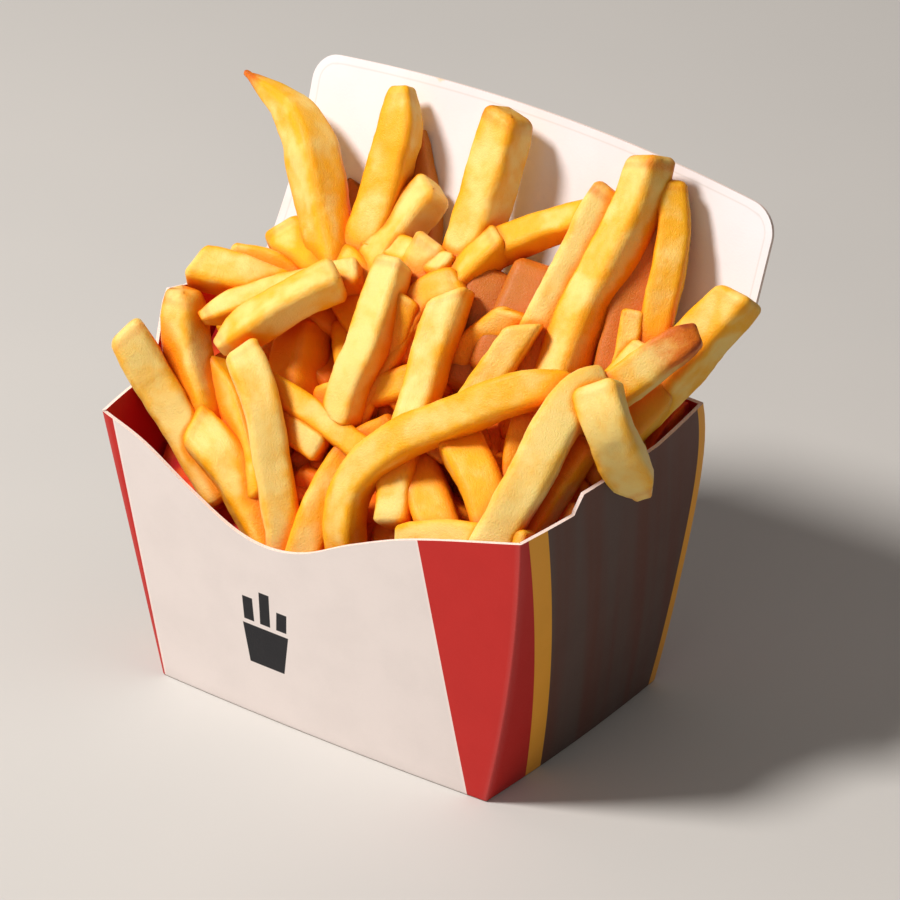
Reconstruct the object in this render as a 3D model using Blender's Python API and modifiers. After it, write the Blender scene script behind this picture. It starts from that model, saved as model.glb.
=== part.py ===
"""French fries in a folded card carton, at real size.

Metres, +Z up. The front of the carton faces -Y and +X runs to the right along it. The origin is
the centre of the base's underside, so the carton stands on z = 0.

The carton is one piece of folded board: a base, four flaring walls with cut rims, and a tall
panel that carries on up from the back wall and leans away. The fries are one heap, which fills
the carton out to its uneven outline and stays a small gap clear of the board.
"""

import math
import random

import bmesh
import bpy
from mathutils import Vector

MM = 0.001

# Board.
BOARD = 1.0 * MM
GAP = 0.4 * MM

# Footprint and the corners' tops (x, y, z), which set how far each corner edge flares.
BASE_HALF_WIDTH = 46.0 * MM
BASE_HALF_DEPTH = 32.3 * MM
FRONT_LEFT_TOP = Vector((-58.8, -35.6, 66.2)) * MM
FRONT_RIGHT_TOP = Vector((58.0, -35.7, 71.5)) * MM
BACK_RIGHT_TOP = Vector((59.0, 31.3, 77.0)) * MM
BACK_LEFT_TOP = Vector((-61.5, 27.5, 79.5)) * MM
RIGHT_CREASE_BOW = 2.0 * MM
BACK_CREASE_BOW = 2.1 * MM
BASE_EDGE_BOW = 1.0 * MM
FRONT_BOW = 0.8 * MM
SIDE_BOW = 1.4 * MM
LEFT_SIDE_BOW = 3.0 * MM
BACK_BOW = 1.2 * MM

# Cut rims, as (place along the wall, height) in millimetres. The front one is a smooth scoop.
FRONT_RIM = [
    (-58.8, 66.2), (-48, 62), (-36, 54.3), (-24, 48), (-14, 46.3), (-3, 48.4), (11, 55.2), (28, 62.4), (58, 71.5)
]
RIGHT_RIM = [(-35.7, 71.5), (-18.2, 70.9), (-15.7, 75.6), (12, 74.8), (31.3, 77)]
LEFT_RIM = [(-35.6, 66.2), (-15, 66.8), (-6.2, 79.6), (-3.6, 82), (2, 80.6), (21, 81.4), (27.5, 79.5)]

# Tall back panel: its right edge steps in at the fold and sweeps out, and both top corners are round.
PANEL_TOP_LEFT = Vector((-60.9, 47.8, 122.5)) * MM
PANEL_TOP_RIGHT = Vector((66.3, 48.9, 118.9)) * MM
PANEL_LEFT_SHOULDER = 0.6 * MM
PANEL_LEFT_WAIST = 1.6 * MM
PANEL_RIGHT_SWEEP = 18.0 * MM
PANEL_SWEEP_END = 0.55
PANEL_SWEEP_CURVE = 1.7
PANEL_CORNER = 6.5 * MM
PANEL_ARCH = 4.4 * MM
PANEL_BOW = 1.6 * MM

# Mesh density of the board.
FRONT_STATIONS = 30
SIDE_STATIONS = 14
BACK_STATIONS = 18
WALL_ROWS = 6
PANEL_ROWS = 9
CORNER_ROWS = 4

# Heap: its top surface rises from the front rim to the back and lifts towards the side walls.
HEAP_FRONT = 52.0 * MM
HEAP_RISE = 0.68
HEAP_TOP = 90.0 * MM
HEAP_SIDE_LIFT = 8.0 * MM
HEAP_SINK = 9.0 * MM
HEAP_RINGS = 5
FILLERS = 26
FILLER_LENGTH = (38 * MM, 62 * MM)
FILLER_WIDTH = (8.0, 10.0)
FILLER_SPREAD_X = 40 * MM
FILLER_SPREAD_Y = (-20 * MM, 26 * MM)
FILLER_PITCH = (-0.15, 0.55)
FILLER_RAISE = 2 * MM
FILLER_MARGIN = 7 * MM

# Fries that show on the heap: width and centre line, tip first, in millimetres.
FRIES = {
    "left_lean": (9.4, [(-60, -24, 79), (-53, -24, 68), (-41, -26, 55)]),
    "left_back": (9.4, [(-56, -9, 85), (-52, -13, 73), (-44, -17, 61)]),
    "left_flat": (9.0, [(-57, -2, 89), (-45, 1, 89), (-30, 2, 90)]),
    "left_far": (6.5, [(-55, 8, 88), (-46, 11, 88), (-33, 12, 88)]),
    "cross_upper": (7.6, [(-49, -10, 82), (-42, -3, 85), (-31, 4, 89)]),
    "cross_lower": (9.0, [(-38, -14, 79), (-28, -8, 86), (-22, 2, 93)]),
    "front_post": (8.5, [(-33, -17, 81), (-25, -22, 74), (-20, -26, 63), (-13, -29.5, 44), (-12, -29, 30)]),
    "cut_stub": (10.5, [(-43, -24, 59), (-33, -26, 55), (-23, -27.5, 46)]),
    "low_upper": (6.5, [(-29, -14, 73), (-16, -14, 70), (-4, -14, 66)]),
    "low_lower": (7.0, [(-27, -16, 68), (-18, -17, 66), (-11, -17, 64)]),
    "bright_bow": (9.4, [(-12, 10, 96), (-10, 3, 88), (-8, -5, 80), (-9, -12, 71)]),
    "mid_long": (8.1, [(5, 10, 95), (7, 0, 85), (10, -10, 75), (12, -18, 67), (16, -25, 58)]),
    "big_curve": (8.1, [(47, -8, 94), (35, -10, 89), (24, -15, 82), (13, -20, 75), (5, -25, 65), (4, -28, 57),
                        (5, -29, 48)]),
    "under_curve": (8.1, [(1, -6, 68), (-5, -14, 63), (-7, -22, 54), (-7, -28.5, 44)]),
    "back_block": (9.4, [(-18, 34, 105), (-21, 27, 98), (-22, 19, 91)]),
    "back_small": (6.7, [(-32, 24, 94), (-17, 20, 97), (-7, 18, 99)]),
    "stub_mid": (9.0, [(-9, 25, 99), (-7, 18, 94), (-4, 8, 87)]),
    "stub_mid_low": (8.1, [(3, 17, 95), (-4, 12, 91), (-7, 2, 79)]),
    "stub_right": (8.5, [(7, 26, 103), (2, 20, 96), (-3, 12, 88)]),
    "arch": (7.6, [(34, 34, 120), (18, 34, 111), (8, 32, 104), (0, 29, 97)]),
    "shard": (10.5, [(-71, 36, 117.5), (-60, 34, 114), (-48, 30, 105), (-41, 24, 94), (-36, 18, 84)]),
    "tall_shade": (9.0, [(-33, 41, 122), (-30, 36, 115), (-29, 32, 106), (-30, 25, 94)]),
    "tall_blunt": (9.9, [(-1, 40, 126), (-1, 35, 116), (-1, 30, 107), (-1, 24, 97)]),
    "longest": (9.4, [(37, 41, 126), (37, 36, 117), (35, 28, 105), (33, 20, 94), (34, 9, 81)]),
    "parallel": (9.4, [(30, 36, 115), (28, 29, 104), (25, 22, 93), (23, 15, 85)]),
    "behind_long": (7.2, [(41, 39, 117), (45, 33, 106), (49, 26, 92)]),
    "dark_back": (9.4, [(42, 31, 110), (42, 26, 100), (44, 19, 88)]),
    "lit_small": (5.4, [(45, 24, 98), (47, 18, 90)]),
    "right_out": (10.3, [(67, 32, 105), (62, 27, 97), (57, 21, 88), (52, 14, 80)]),
    "brown_tip": (8.1, [(65, 18, 100), (61, 12, 96), (57, 6, 92), (50, 0, 87)]),
    "elbow": (10.3, [(51, -1, 92), (46, -6, 87), (46, -13, 81), (46, -22, 73), (46, -28.5, 64)]),
    "over_wall": (10.0, [(64.5, 1.5, 72), (61, 3, 80.5), (53, 3, 88), (49, 2, 91.5)]),
    "tiny_right": (5.8, [(51, 20, 93), (48, 12, 86)]),
    "front_low": (7.0, [(21, -29, 57), (32, -29, 62), (42, -28.5, 64)]),
    "shade_inner": (9.9, [(23, -12, 76), (34, -18, 71), (43, -24, 63)]),
    "shade_outer": (10.3, [(10, -12, 67), (20, -18, 62), (29, -24, 56)]),
    "shade_thin": (6.3, [(36, -4, 83), (39, -12, 72)]),
    "pair_front": (7.2, [(25, 10, 94), (23, 4, 87), (20, -4, 78)]),
    "pair_back": (6.7, [(18, 16, 93), (12, 12, 87), (5, 5, 79)]),
    "behind_post": (7.6, [(-47, -10, 69), (-39, -13, 66), (-30, -19, 59)]),
    "mid_left": (10.0, [(-54, 25, 89), (-43, 23, 87), (-28, 17, 85)]),
    "gap_post": (6.3, [(-24, 8, 87), (-19, 1, 76)]),
    "shade_left": (10.5, [(-31, 3, 79), (-27, -7, 66)]),
    "under_bow": (7.6, [(-18, -8, 69), (-3, -1, 75)]),
    "beside_bow": (7.2, [(-6, 8, 92), (-7, 2, 82), (-8, -4, 74)]),
    "tiny_back": (4.5, [(-41, 35, 97), (-40, 30, 90)]),
    "right_low": (10.0, [(56, 18, 86), (53, 8, 78)]),
    "right_low_thin": (6.7, [(52, -4, 80), (50, -12, 72)]),
}

BURY = 10.0 * MM
OPEN_ENDED = ("over_wall", "mid_long", "low_lower")
POINTED = ("shard", "over_wall")
TIP_SHARE = 0.3
SQUARENESS = 0.86

SEED = 11
MERGE = 0.01 * MM


def clear_scene():
    """Remove the objects that the scene starts with."""
    for obj in list(bpy.data.objects):
        bpy.data.objects.remove(obj)


def add_collection(name):
    """Make a collection in the scene."""
    collection = bpy.data.collections.new(name)
    bpy.context.scene.collection.children.link(collection)
    return collection


def add_object(name, bm, collection):
    """Turn a bmesh into an object of a collection."""
    mesh = bpy.data.meshes.new(name)
    bm.to_mesh(mesh)
    bm.free()
    obj = bpy.data.objects.new(name, mesh)
    collection.objects.link(obj)
    return obj


def add_material(obj, name, colour, roughness):
    """Give an object its own Principled material."""
    material = bpy.data.materials.new(name)
    material.use_nodes = True
    shader = material.node_tree.nodes["Principled BSDF"]
    shader.inputs["Base Color"].default_value = (*colour, 1)
    shader.inputs["Roughness"].default_value = roughness
    shader.inputs["Metallic"].default_value = 0.0
    obj.data.materials.clear()
    obj.data.materials.append(material)


def broken_line(points, at):
    """Height of a line of straight stretches, in metres, at a place in metres."""
    place = at / MM
    for (x0, z0), (x1, z1) in zip(points, points[1:]):
        if place <= x1:
            return (z0 + (z1 - z0) * max(0.0, place - x0) / (x1 - x0)) * MM
    return points[-1][1] * MM


def smooth_line(points, at):
    """Height of a smooth curve through the points, in metres, at a place in metres."""
    place = min(max(at / MM, points[0][0]), points[-1][0])
    last = len(points) - 1
    slopes = []
    for i in range(last + 1):
        before, after = points[max(i - 1, 0)], points[min(i + 1, last)]
        slopes.append((after[1] - before[1]) / (after[0] - before[0]))
    for i in range(last):
        (x0, z0), (x1, z1) = points[i], points[i + 1]
        if place <= x1:
            break
    span = x1 - x0
    t = (place - x0) / span
    height = (
        (2 * t**3 - 3 * t**2 + 1) * z0
        + (t**3 - 2 * t**2 + t) * span * slopes[i]
        + (3 * t**2 - 2 * t**3) * z1
        + (t**3 - t**2) * span * slopes[i + 1]
    )
    return height * MM


def corner(top, z, bow=0.0, back_bow=0.0):
    """Point of a corner crease at height z, between its foot and its top."""
    foot = Vector((math.copysign(BASE_HALF_WIDTH, top.x), math.copysign(BASE_HALF_DEPTH, top.y), 0))
    rise = z / top.z
    point = foot.lerp(top, rise)
    point.x += math.copysign(4 * bow * rise * (1 - rise), top.x)
    point.y += 12.2 * back_bow * rise**4 * (1 - rise)
    point.z = z
    return point


def back_right(z):
    """Crease between the right wall and the back one."""
    return corner(BACK_RIGHT_TOP, z, RIGHT_CREASE_BOW, BACK_CREASE_BOW)


def front_point(u, z):
    """Front wall, u from the left corner to the right one."""
    point = corner(FRONT_LEFT_TOP, z).lerp(corner(FRONT_RIGHT_TOP, z, RIGHT_CREASE_BOW), u)
    point.y -= 4 * u * (1 - u) * (BASE_EDGE_BOW + (FRONT_BOW - BASE_EDGE_BOW) * z / FRONT_LEFT_TOP.z)
    return point


def right_point(u, z):
    """Right wall, u from the front corner to the back one."""
    point = corner(FRONT_RIGHT_TOP, z, RIGHT_CREASE_BOW).lerp(back_right(z), u)
    point.x += 4 * u * (1 - u) * (BASE_EDGE_BOW + (SIDE_BOW - BASE_EDGE_BOW) * z / BACK_RIGHT_TOP.z)
    return point


def back_point(u, z):
    """Back wall, u from the right corner to the left one."""
    point = back_right(z).lerp(corner(BACK_LEFT_TOP, z), u)
    point.y += 4 * u * (1 - u) * BACK_BOW * z / BACK_LEFT_TOP.z
    return point


def left_point(u, z):
    """Left wall, u from the back corner to the front one."""
    point = corner(BACK_LEFT_TOP, z).lerp(corner(FRONT_LEFT_TOP, z), u)
    point.x -= 4 * u * (1 - u) * (BASE_EDGE_BOW + (LEFT_SIDE_BOW - BASE_EDGE_BOW) * z / BACK_LEFT_TOP.z)
    return point


def front_rim(u):
    """Height of the front wall's scooped rim."""
    return smooth_line(FRONT_RIM, FRONT_LEFT_TOP.x + u * (FRONT_RIGHT_TOP.x - FRONT_LEFT_TOP.x))


def right_rim(u):
    """Height of the right wall's stepped rim."""
    return broken_line(RIGHT_RIM, FRONT_RIGHT_TOP.y + u * (BACK_RIGHT_TOP.y - FRONT_RIGHT_TOP.y))


def back_rim(u):
    """Height of the fold between the back wall and the tall panel."""
    return BACK_RIGHT_TOP.z + u * (BACK_LEFT_TOP.z - BACK_RIGHT_TOP.z)


def left_rim(u):
    """Height of the left wall's stepped rim."""
    return broken_line(LEFT_RIM, BACK_LEFT_TOP.y + u * (FRONT_LEFT_TOP.y - BACK_LEFT_TOP.y))


def stations(count, marks=()):
    """Even places from 0 to 1, and a few more where a rim has a corner."""
    places = {round(i / count, 4) for i in range(count + 1)}
    places |= {round(mark, 4) for mark in marks}
    return sorted(places)


def rim_marks(points, start, end):
    """Places, from 0 to 1, of the inner corners of a rim between two coordinates in metres."""
    return [(place * MM - start) / (end - start) for place, _ in points[1:-1]]


def panel_edges(up):
    """Where the panel's right and left edges lie across it, at a share of its height."""
    sweep = max(0.0, 1 - up / PANEL_SWEEP_END) ** PANEL_SWEEP_CURVE
    right = PANEL_TOP_RIGHT.x - PANEL_RIGHT_SWEEP * sweep
    left = BACK_LEFT_TOP.x + PANEL_LEFT_SHOULDER
    return right, left + (PANEL_TOP_LEFT.x - left) * up + PANEL_LEFT_WAIST * 4 * up * (1 - up)


def panel_point(x, up):
    """Point of the tall panel at a place across it, up from the fold at 0 to the top edge at 1."""
    along = (BACK_RIGHT_TOP.x - x) / (BACK_RIGHT_TOP.x - BACK_LEFT_TOP.x)
    low = back_point(along, back_rim(along))
    across = (PANEL_TOP_RIGHT.x - x) / (PANEL_TOP_RIGHT.x - PANEL_TOP_LEFT.x)
    high = PANEL_TOP_RIGHT.lerp(PANEL_TOP_LEFT, across)
    high.x = x
    point = low.lerp(high, up)
    middle = 4 * across * (1 - across)
    point += (high - low).normalized() * PANEL_ARCH * middle * up
    point.y += PANEL_BOW * middle * up * (1 - up) * 4
    return point


def panel_rows(height):
    """Rows up the panel as (up, inset at each side): straight sides, then a round corner."""
    rows = []
    straight = height - PANEL_CORNER
    for row in range(1, PANEL_ROWS + 1):
        rows.append((straight * row / PANEL_ROWS / height, 0.0))
    for row in range(1, CORNER_ROWS + 1):
        angle = math.pi / 2 * row / CORNER_ROWS
        up = (straight + PANEL_CORNER * math.sin(angle)) / height
        rows.append((up, PANEL_CORNER * (1 - math.cos(angle))))
    return rows


def board_surface(spare=0.0):
    """Outer face of the folded board as one open sheet. Spare carries its free edges out a little."""
    bm = bmesh.new()

    def wall(point, rim, places, raised):
        columns = []
        for u in places:
            top = rim(u) + (spare if raised else 0.0)
            columns.append([bm.verts.new(point(u, top * row / WALL_ROWS)) for row in range(WALL_ROWS + 1)])
        for left, right in zip(columns, columns[1:]):
            for row in range(WALL_ROWS):
                bm.faces.new((left[row], right[row], right[row + 1], left[row + 1]))
        return columns

    depth = (FRONT_RIGHT_TOP.y, BACK_RIGHT_TOP.y)
    other = (BACK_LEFT_TOP.y, FRONT_LEFT_TOP.y)
    width = BACK_RIGHT_TOP.x - BACK_LEFT_TOP.x
    shoulders = [(BACK_RIGHT_TOP.x - edge) / width for edge in panel_edges(0)]
    back_places = stations(BACK_STATIONS, shoulders)
    walls = [
        wall(front_point, front_rim, stations(FRONT_STATIONS), True),
        wall(right_point, right_rim, stations(SIDE_STATIONS, rim_marks(RIGHT_RIM, *depth)), True),
        wall(back_point, back_rim, back_places, False),
        wall(left_point, left_rim, stations(SIDE_STATIONS, rim_marks(LEFT_RIM, *other)), True),
    ]
    bm.faces.new([column[0] for side in reversed(walls) for column in reversed(side[1:])])

    folded = [u for u in back_places if round(shoulders[0], 4) <= u <= round(shoulders[1], 4)]
    fold = [walls[2][back_places.index(u)][-1] for u in folded]
    shares = [(u - folded[0]) / (folded[-1] - folded[0]) for u in folded]
    height = (PANEL_TOP_LEFT - BACK_LEFT_TOP).length
    below = fold
    for up, inset in panel_rows(height):
        right, left = panel_edges(up)
        right += spare - inset
        left -= spare - inset
        raised = up * (1 + spare / height)
        row = [bm.verts.new(panel_point(right + (left - right) * share, raised)) for share in shares]
        for i in range(len(fold) - 1):
            bm.faces.new((below[i], below[i + 1], row[i + 1], row[i]))
        below = row
    bmesh.ops.remove_doubles(bm, verts=bm.verts, dist=0.05 * MM)
    bmesh.ops.recalc_face_normals(bm, faces=bm.faces)
    base = min(bm.faces, key=lambda face: face.calc_center_median().z)
    if base.normal.z > 0:
        bmesh.ops.reverse_faces(bm, faces=bm.faces)
    return bm


def thicken(obj, thickness, offset):
    """Give the open sheet its thickness."""
    solid = obj.modifiers.new("Thickness", "SOLIDIFY")
    solid.thickness = thickness
    solid.offset = offset
    solid.use_even_offset = True
    solid.use_quality_normals = True


def build_carton(collection):
    """The carton: the sheet grows inwards by the board's thickness."""
    carton = add_object("carton", board_surface(), collection)
    thicken(carton, BOARD, -1.0)
    add_material(carton, "printed_board", (0.80, 0.70, 0.62), 0.55)
    return carton


def board_clearance(collection):
    """The space that the heap keeps off: the board and a gap on every side of it."""
    keep_off = add_object("board_clearance", board_surface(GAP), collection)
    thickness = BOARD + 2 * GAP
    thicken(keep_off, thickness, 2 * GAP / thickness - 1)
    return keep_off


def heap_height(x, y):
    """Height of the heap's top surface."""
    slope = min(HEAP_FRONT + HEAP_RISE * (y + BASE_HALF_DEPTH), HEAP_TOP)
    return slope + HEAP_SIDE_LIFT * (x / FRONT_RIGHT_TOP.x) ** 2 - HEAP_SINK


def build_core(collection):
    """Closed body of the packed fries inside the walls, up to the heap's top surface."""
    inset = BOARD + 2 * GAP
    around = []
    for point, rim, count in (
        (front_point, front_rim, SIDE_STATIONS),
        (right_point, right_rim, SIDE_STATIONS // 2),
        (back_point, back_rim, SIDE_STATIONS),
        (left_point, left_rim, SIDE_STATIONS // 2),
    ):
        around += [(point, rim, i / count) for i in range(count)]

    def inner(point, u, z):
        place = point(u, z)
        shrink = Vector((1 - inset / abs(BASE_HALF_WIDTH), 1 - inset / abs(BASE_HALF_DEPTH)))
        return Vector((place.x * shrink.x, place.y * shrink.y, z))

    bm = bmesh.new()
    rows = []
    for row in range(WALL_ROWS + 1):
        ring = []
        for point, rim, u in around:
            edge = inner(point, u, rim(u))
            top = min(heap_height(edge.x, edge.y), rim(u) - 2 * GAP)
            z = inset + (top - inset) * row / WALL_ROWS
            ring.append(bm.verts.new(inner(point, u, z)))
        rows.append(ring)
    for ring in range(1, HEAP_RINGS):
        shrink = 1 - ring / HEAP_RINGS
        loop = []
        for vert in rows[WALL_ROWS]:
            x, y = vert.co.x * shrink, vert.co.y * shrink
            rim_drop = (vert.co.z - heap_height(vert.co.x, vert.co.y)) * shrink**2
            loop.append(bm.verts.new((x, y, heap_height(x, y) + rim_drop)))
        rows.append(loop)
    count = len(around)
    for low, high in zip(rows, rows[1:]):
        for i in range(count):
            j = (i + 1) % count
            bm.faces.new((low[i], low[j], high[j], high[i]))
    bm.faces.new(list(reversed(rows[0])))
    middle = bm.verts.new((0, 0, heap_height(0, 0)))
    for i in range(count):
        bm.faces.new((rows[-1][i], rows[-1][(i + 1) % count], middle))
    bmesh.ops.recalc_face_normals(bm, faces=bm.faces)
    return add_object("fries", bm, collection)


def add_bar(name, route, width, turn, collection):
    """One square-cut fry: a bevelled curve along its centre line, made a closed mesh."""
    curve = bpy.data.curves.new(name, "CURVE")
    curve.dimensions = "3D"
    curve.bevel_depth = width * SQUARENESS * MM / math.sqrt(2)
    curve.bevel_resolution = 0
    curve.use_fill_caps = True
    curve.twist_mode = "MINIMUM"
    line = curve.splines.new("POLY")
    line.points.add(len(route) - 1)
    for spot, place in zip(line.points, route):
        spot.co = (*place, 1)
        spot.tilt = turn
    guide = bpy.data.objects.new(name, curve)
    collection.objects.link(guide)
    graph = bpy.context.evaluated_depsgraph_get()
    mesh = bpy.data.meshes.new_from_object(guide.evaluated_get(graph))
    bpy.data.objects.remove(guide)
    bm = bmesh.new()
    bm.from_mesh(mesh)
    bpy.data.meshes.remove(mesh)
    bmesh.ops.remove_doubles(bm, verts=bm.verts, dist=0.01 * MM)
    bmesh.ops.recalc_face_normals(bm, faces=bm.faces)
    return add_object(name, bm, collection)


def narrow_tip(obj, tip, next_point):
    """Pinch the end of a fry towards its centre line."""
    axis = (next_point - tip).normalized()
    for vert in obj.data.vertices:
        along = (vert.co - tip).dot(axis)
        if along < 0.5 * MM:
            centre = tip + axis * along
            vert.co = centre + (vert.co - centre) * TIP_SHARE


def add_fries(collection, rng):
    """The fries that show. Most carry on into the heap past their last point."""
    for name, (width, places) in FRIES.items():
        route = [Vector(place) * MM for place in places]
        if name not in OPEN_ENDED:
            route.append(route[-1] + (route[-1] - route[-2]).normalized() * BURY)
        bar = add_bar(name, route, width, rng.uniform(0, math.pi / 2), collection)
        if name in POINTED:
            narrow_tip(bar, route[0], route[1])


def add_fillers(collection, rng):
    """Plain fries that lie every way over the rest of the heap."""
    for number in range(FILLERS):
        x = rng.uniform(-FILLER_SPREAD_X, FILLER_SPREAD_X)
        y = rng.uniform(*FILLER_SPREAD_Y)
        centre = Vector((x, y, heap_height(x, y) + FILLER_RAISE))
        heading = rng.uniform(0, math.pi)
        pitch = rng.uniform(*FILLER_PITCH)
        reach = rng.uniform(*FILLER_LENGTH) / 2
        level = math.cos(pitch)
        along = Vector((math.cos(heading) * level, math.sin(heading) * level, math.sin(pitch)))
        room = (FRONT_RIGHT_TOP.x - FILLER_MARGIN, BASE_HALF_DEPTH - FILLER_MARGIN)
        side = [abs(centre[axis]) + abs(along[axis]) * reach for axis in (0, 1)]
        if side[0] > room[0] or side[1] > room[1]:
            reach /= 2
        ends = [centre - along * reach, centre + along * reach]
        add_bar(f"filler_{number}", ends, rng.uniform(*FILLER_WIDTH), rng.uniform(0, math.pi / 2), collection)


def bake(obj):
    """Put the result of an object's modifiers into its mesh."""
    graph = bpy.context.evaluated_depsgraph_get()
    mesh = bpy.data.meshes.new_from_object(obj.evaluated_get(graph))
    obj.modifiers.clear()
    obj.data = mesh


def keep_largest_shell(obj):
    """Keep the outer shell of the heap: closed pockets and cut-off scraps go."""
    bm = bmesh.new()
    bm.from_mesh(obj.data)
    bmesh.ops.triangulate(bm, faces=bm.faces)
    bmesh.ops.remove_doubles(bm, verts=bm.verts, dist=MERGE)
    bmesh.ops.dissolve_degenerate(bm, edges=bm.edges, dist=MERGE)
    flaps = [face for face in bm.faces if any(len(edge.link_faces) == 1 for edge in face.edges)]
    bmesh.ops.delete(bm, geom=flaps, context="FACES")
    left = set(bm.verts)
    shells = []
    while left:
        shell = {left.pop()}
        edge = list(shell)
        while edge:
            vert = edge.pop()
            for link in vert.link_edges:
                other = link.other_vert(vert)
                if other in left:
                    left.remove(other)
                    shell.add(other)
                    edge.append(other)
        shells.append(shell)
    largest = max(shells, key=len)
    bmesh.ops.delete(bm, geom=[vert for vert in bm.verts if vert not in largest], context="VERTS")
    bmesh.ops.triangulate(bm, faces=bm.faces)
    bm.to_mesh(obj.data)
    bm.free()


def build_fries(collection, helpers, clearance):
    """The heap: the core and every bar joined, less the space of the board."""
    rng = random.Random(SEED)
    heap = build_core(collection)
    add_fries(helpers, rng)
    add_fillers(helpers, rng)
    join = heap.modifiers.new("Join", "BOOLEAN")
    join.operation = "UNION"
    join.operand_type = "COLLECTION"
    join.collection = helpers
    join.solver = "EXACT"
    bake(heap)
    clear = heap.modifiers.new("Clear", "BOOLEAN")
    clear.operation = "DIFFERENCE"
    clear.object = clearance
    clear.solver = "EXACT"
    bake(heap)
    keep_largest_shell(heap)
    add_material(heap, "fried_potato", (0.90, 0.55, 0.12), 0.5)
    return heap


def main():
    """Build the carton and its fries."""
    clear_scene()
    parts = add_collection("french_fries_in_a_carton")
    cutters = add_collection("cutters")
    bars = bpy.data.collections.new("bars")
    cutters.children.link(bars)
    build_carton(parts)
    clearance = board_clearance(cutters)
    build_fries(parts, bars, clearance)
    for helper in list(bars.objects) + [clearance]:
        helper.hide_render = True
        helper.display_type = "WIRE"


main()
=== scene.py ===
"""French fries in a folded card carton: the finished looks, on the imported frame.

Shapes are worked out in millimetres and put into each mesh in metres. The carton is one folded
board: grids stood up as walls, merged, creased and given their thickness. Every fry is a copy of
one square-cut bar, laid along its own centre line, and the fries lie over a smaller core.
"""

import math
import random

import bpy
import numpy as np
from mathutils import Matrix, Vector, noise
from mathutils.bvhtree import BVHTree


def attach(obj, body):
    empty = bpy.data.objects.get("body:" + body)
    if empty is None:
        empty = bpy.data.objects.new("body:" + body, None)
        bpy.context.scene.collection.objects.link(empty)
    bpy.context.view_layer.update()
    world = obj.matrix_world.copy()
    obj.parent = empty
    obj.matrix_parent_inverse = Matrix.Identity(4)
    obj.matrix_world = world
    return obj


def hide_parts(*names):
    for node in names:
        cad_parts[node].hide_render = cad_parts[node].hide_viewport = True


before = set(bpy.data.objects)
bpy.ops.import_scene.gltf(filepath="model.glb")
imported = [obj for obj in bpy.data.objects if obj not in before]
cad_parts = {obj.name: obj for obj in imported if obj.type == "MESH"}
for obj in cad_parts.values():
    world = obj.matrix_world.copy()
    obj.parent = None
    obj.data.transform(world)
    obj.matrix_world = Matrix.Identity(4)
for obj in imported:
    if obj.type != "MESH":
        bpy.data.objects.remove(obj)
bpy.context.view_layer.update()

MM = 0.001

# Board, in millimetres: the same creases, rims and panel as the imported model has.
BOARD = 0.9
BASE_HALF_WIDTH = 46.0
BASE_HALF_DEPTH = 32.3
FRONT_LEFT_TOP = Vector((-58.8, -35.6, 66.2))
FRONT_RIGHT_TOP = Vector((58.0, -35.7, 71.5))
BACK_RIGHT_TOP = Vector((59.0, 31.3, 77.0))
BACK_LEFT_TOP = Vector((-61.5, 27.5, 79.5))
RIGHT_CREASE_BOW = 2.0
BACK_CREASE_BOW = 2.1
BACK_BOW_POWER = 4
BACK_BOW_SCALE = 12.2
BASE_EDGE_BOW = 1.0
FRONT_BOW = 0.8
SIDE_BOW = 1.4
LEFT_SIDE_BOW = 3.0
BACK_BOW = 1.2
FRONT_RIM = [
    (-58.8, 66.2), (-48, 62), (-36, 54.3), (-24, 48), (-14, 46.3),
    (-3, 48.4), (11, 55.2), (28, 62.4), (58, 71.5),
]
RIGHT_RIM = [(-35.7, 71.5), (-18.2, 70.9), (-15.7, 75.6), (12, 74.8), (31.3, 77)]
LEFT_RIM = [
    (-35.6, 66.2), (-15, 66.8), (-6.2, 79.6), (-3.6, 82), (2, 80.6), (21, 81.4), (27.5, 79.5),
]
PANEL_TOP_LEFT = Vector((-60.9, 47.8, 122.5))
PANEL_TOP_RIGHT = Vector((66.3, 48.9, 118.9))
PANEL_LEFT_SHOULDER = 0.6
PANEL_LEFT_WAIST = 1.6
PANEL_RIGHT_SWEEP = 18.0
PANEL_SWEEP_END = 0.55
PANEL_SWEEP_CURVE = 1.7
PANEL_CORNER = 6.5
PANEL_ARCH = 4.4
PANEL_BOW = 1.6
SCORE_INSET = 1.9
SCORE_COLUMNS = 0.7
CREASE_RADIUS = 1.1
CREASE_SEGMENTS = 4
CREASE_TOP = 80.0
WORN_HALF, WORN_FADE = 0.5, 1.1
WALL_ROWS = 22
SIDE_COLUMNS = 26
FRONT_COLUMNS = 64
PANEL_COLUMNS = 40
PANEL_ROWS = 20
CORNER_ROWS = 9
MERGE_REACH = 0.02

# Heap under the fries that show.
HEAP_FRONT = 52.0
HEAP_RISE = 0.68
HEAP_TOP = 90.0
HEAP_SIDE_LIFT = 8.0
HEAP_SINK = 9.0

# Core: how far under the heap, above the base and inside the walls it stays.
CORE_DROP = 9.0
CORE_FOOT = 1.5
CORE_INSET = 1.6
CORE_SPREAD = 1.05
CORE_CUTS = 15


def srgb(red, green, blue):
    """A colour given as 0 to 255 screen values, made linear."""
    values = [value / 255 for value in (red, green, blue)]
    return [v / 12.92 if v <= 0.04045 else ((v + 0.055) / 1.055) ** 2.4 for v in values]


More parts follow.
